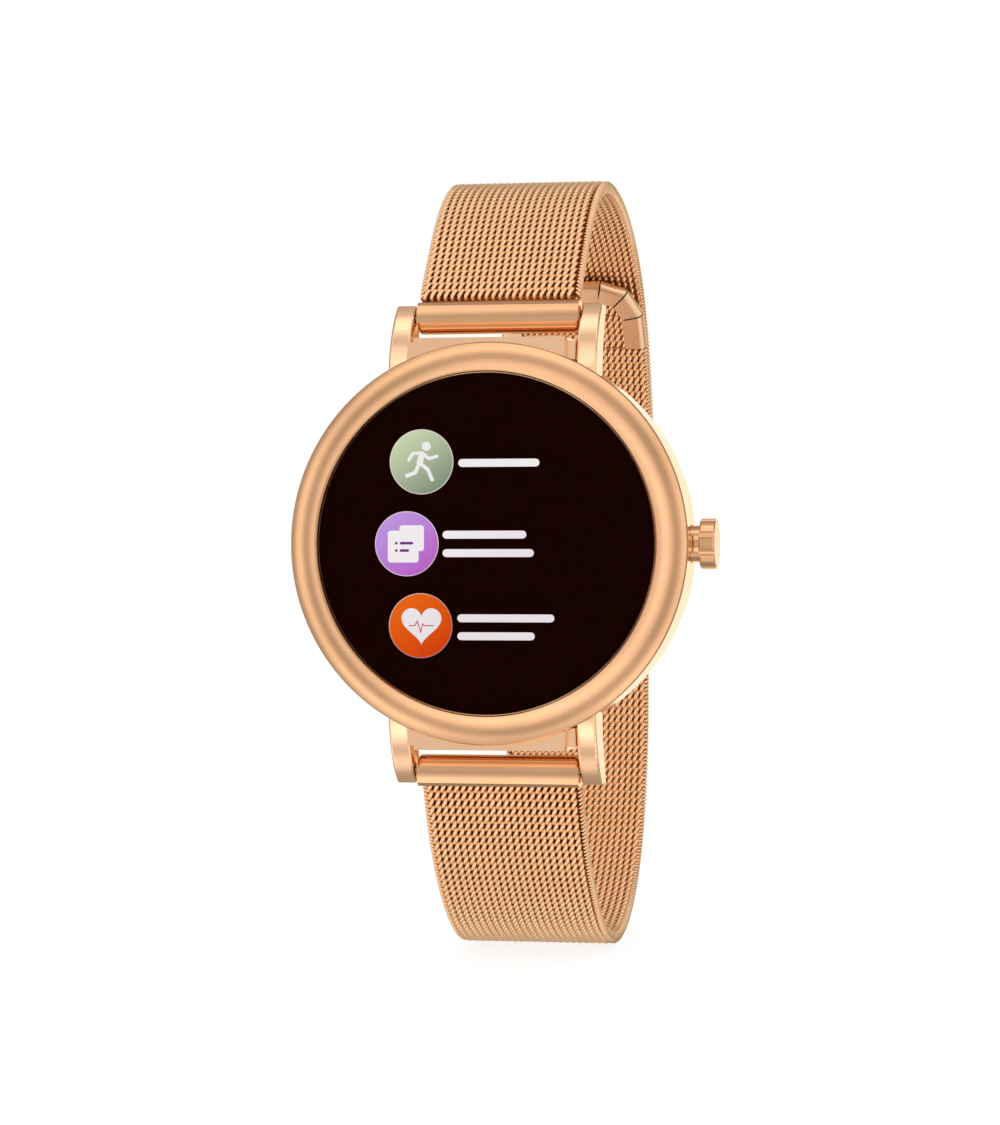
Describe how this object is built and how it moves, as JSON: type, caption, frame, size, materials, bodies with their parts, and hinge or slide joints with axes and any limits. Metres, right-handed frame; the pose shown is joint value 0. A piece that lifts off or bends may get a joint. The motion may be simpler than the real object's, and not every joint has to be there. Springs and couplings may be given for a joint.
{
  "type": "smartwatch",
  "caption": "Round smartwatch: domed bezel, glass display, side crown, sensor window and a woven mesh strap closed by a sliding clasp with a lever.",
  "frame": {"origin": "centre of the sensor window's flat outer face, which rests on the wrist", "axes": "+Z towards twelve o'clock, +Y from the display towards the wrist, +X to the crown side"},
  "size_m": [0.0455, 0.0666, 0.0875],
  "materials": {
    "rose_gold_polished": "polished rose-gold plated steel",
    "rose_gold_satin": "satin rose-gold plated steel",
    "rose_gold_case": "polished pale rose-gold plated steel",
    "rose_gold_mesh": "woven rose-gold plated wire",
    "clear_glass": "clear polished cover glass",
    "display_black": "black display panel",
    "sensor_glass": "dark sensor window",
    "black_plastic": "moulded black plastic",
    "board_green": "printed circuit board",
    "ribbon_amber": "flexible circuit",
    "chip_black": "moulded chip packages",
    "led_clear": "light emitters",
    "battery_foil": "foil pouch",
    "copper": "wound copper wire",
    "magnet_nickel": "nickel plated magnet",
    "black_rubber": "elastomer seal",
    "bare_steel": "bare stainless steel",
    "screw_steel": "small turned screws",
    "weight_metal": "heavy sintered weight"
  },
  "bodies": {
    "case": {"mid_case": "rose_gold_case", "bezel_ring": "rose_gold_satin", "cover_glass": "clear_glass", "glass_gasket": "black_rubber", "display_panel": "display_black", "display_ribbon": "ribbon_amber", "inner_frame": "black_plastic", "main_board": "board_green", "board_chips": "chip_black", "frame_screws": "screw_steel", "battery": "battery_foil", "antenna": "copper", "vibration_motor_cup": "bare_steel", "vibration_motor_cap": "bare_steel", "vibration_motor_shaft": "bare_steel", "crown_tube": "bare_steel", "crown_switch": "black_plastic", "back_cover": "rose_gold_satin", "back_gasket": "black_rubber", "back_screws": "screw_steel", "sensor_window": "sensor_glass", "sensor_board": "board_green", "sensor_leds": "led_clear", "sensor_receivers": "chip_black", "charging_coil": "copper", "charging_magnet": "magnet_nickel", "upper_bar_barrel": "bare_steel", "lower_bar_barrel": "bare_steel", "upper_bar_spring": "bare_steel", "lower_bar_spring": "bare_steel"},
    "crown_slider": {"switch_plunger": "black_plastic"},
    "crown": {"crown_knob": "rose_gold_polished", "crown_stem": "bare_steel", "crown_seal": "black_rubber", "crown_clip": "bare_steel"},
    "motor_weight": {"vibration_motor_weight": "weight_metal"},
    "upper_pin_left": {"upper_bar_pin_left": "bare_steel"},
    "upper_pin_right": {"upper_bar_pin_right": "bare_steel"},
    "lower_pin_left": {"lower_bar_pin_left": "bare_steel"},
    "lower_pin_right": {"lower_bar_pin_right": "bare_steel"},
    "upper_strap": {"upper_end_sleeve": "rose_gold_polished", "upper_mesh": "rose_gold_mesh", "end_crimp": "rose_gold_polished", "hook_bar": "rose_gold_polished"},
    "lower_strap": {"lower_end_sleeve": "rose_gold_polished", "lower_mesh": "rose_gold_mesh", "strap_tip": "rose_gold_polished", "tip_mesh": "rose_gold_mesh", "clasp_body": "rose_gold_satin", "clasp_pin": "bare_steel"},
    "clasp_cover": {"clasp_lever": "rose_gold_polished"}
  },
  "joints": [
    {"name": "crown_press", "type": "slide", "parent": "case", "child": "crown_slider", "axis": [-1, 0, 0], "range_m": [0, 0.0004], "stiffness_N_per_m": 2000},
    {"name": "crown_turn", "type": "hinge", "parent": "crown_slider", "child": "crown", "pos_m": [0.0225, -0.0054, 0], "axis": [1, 0, 0], "continuous": true},
    {"name": "motor_spin", "type": "hinge", "parent": "case", "child": "motor_weight", "pos_m": [-0.002, -0.0053, -0.011], "axis": [0, 1, 0], "continuous": true},
    {"name": "upper_bar_left", "type": "slide", "parent": "case", "child": "upper_pin_left", "axis": [1, 0, 0], "range_m": [0, 0.00125], "stiffness_N_per_m": 100, "deforming": ["upper_bar_spring"]},
    {"name": "upper_bar_right", "type": "slide", "parent": "case", "child": "upper_pin_right", "axis": [-1, 0, 0], "range_m": [0, 0.00125], "stiffness_N_per_m": 100, "deforming": ["upper_bar_spring"]},
    {"name": "lower_bar_left", "type": "slide", "parent": "case", "child": "lower_pin_left", "axis": [1, 0, 0], "range_m": [0, 0.00125], "stiffness_N_per_m": 100, "deforming": ["lower_bar_spring"]},
    {"name": "lower_bar_right", "type": "slide", "parent": "case", "child": "lower_pin_right", "axis": [-1, 0, 0], "range_m": [0, 0.00125], "stiffness_N_per_m": 100, "deforming": ["lower_bar_spring"]},
    {"name": "upper_strap_swing", "type": "hinge", "parent": "case", "child": "upper_strap", "pos_m": [0, -0.0026, 0.02445], "axis": [1, 0, 0], "range_deg": [0, 35]},
    {"name": "lower_strap_swing", "type": "hinge", "parent": "case", "child": "lower_strap", "pos_m": [0, -0.0026, -0.02445], "axis": [1, 0, 0], "range_deg": [-5.25, 0]},
    {"name": "clasp_lever_lift", "type": "hinge", "parent": "lower_strap", "child": "clasp_cover", "pos_m": [0, 0.05285, -0.01], "axis": [-1, 0, 0], "range_deg": [0, 105]}
  ],
  "couplings": [
    {"joint": "lower_strap_swing", "follows": "upper_strap_swing", "ratio": -0.15},
    {"joint": "clasp_lever_lift", "follows": "upper_strap_swing", "ratio": 3}
  ]
}
